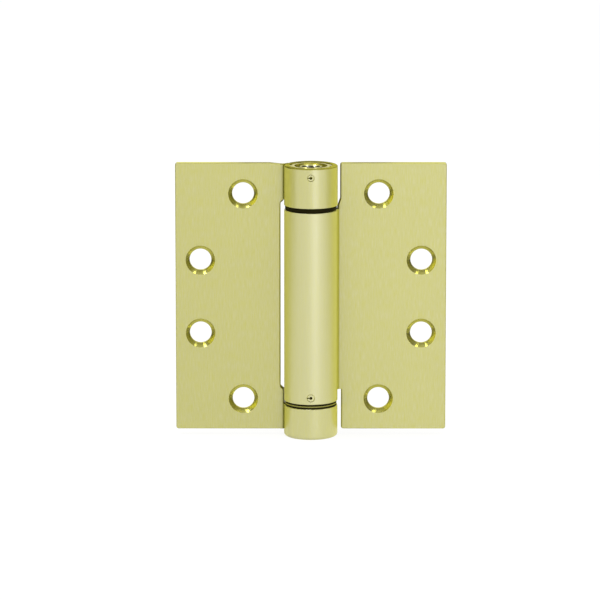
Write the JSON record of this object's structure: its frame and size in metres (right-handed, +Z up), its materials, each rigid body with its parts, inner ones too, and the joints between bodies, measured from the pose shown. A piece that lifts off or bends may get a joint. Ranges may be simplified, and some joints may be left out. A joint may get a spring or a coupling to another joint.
{
  "type": "spring hinge",
  "caption": "Square-cornered full mortise door hinge, open flat, with a coil spring in its thick barrel, a hexagonal tension spool on top and countersunk screw holes.",
  "frame": {"origin": "centre of the hinge's box: on the barrel's axis, halfway up the whole hinge", "axes": "+X across the open leaves towards the door leaf, +Y from the screwed faces to the leaves' backs, +Z up the barrel to the tension spool"},
  "size_m": [0.1142, 0.0226, 0.1168],
  "materials": {
    "satin_brass": "steel plated in satin brass, pale olive yellow, brushed along the barrel",
    "bright_brass": "turned steel plated in brass, smooth and brighter than the leaves",
    "plated_pin": "rolled spring steel plated in satin brass",
    "black_nylon": "black nylon, dull",
    "bronze": "plain bearing bronze, machined",
    "spring_steel": "oil-tempered spring steel, dark grey",
    "bright_steel": "turned steel, bright"
  },
  "bodies": {
    "frame_side": {"frame_leaf": "satin_brass", "spool_retaining_pin": "plated_pin", "upper_thrust_washer": "black_nylon", "lower_seat_washer": "black_nylon", "lower_steel_washer": "satin_brass", "lower_thrust_washer": "black_nylon", "lower_pivot": "bright_steel", "bottom_cap": "satin_brass"},
    "door_side": {"door_leaf": "satin_brass", "upper_bush": "bronze", "torsion_spring": "spring_steel", "spring_anchor": "bright_steel", "anchor_pin": "plated_pin", "lower_bush": "bronze"},
    "spool": {"tension_spool": "bright_brass"}
  },
  "joints": [
    {"name": "leaf_swing", "type": "hinge", "parent": "frame_side", "child": "door_side", "pos_m": [0, 0, 0], "axis": [0, 0, 1], "range_deg": [-180, 0], "stiffness_Nm_per_rad": 1.6, "deforming": ["torsion_spring"]},
    {"name": "spool_turn", "type": "hinge", "parent": "frame_side", "child": "spool", "pos_m": [0, 0, 0.05], "axis": [0, 0, 1], "range_deg": [-360, 0]}
  ]
}
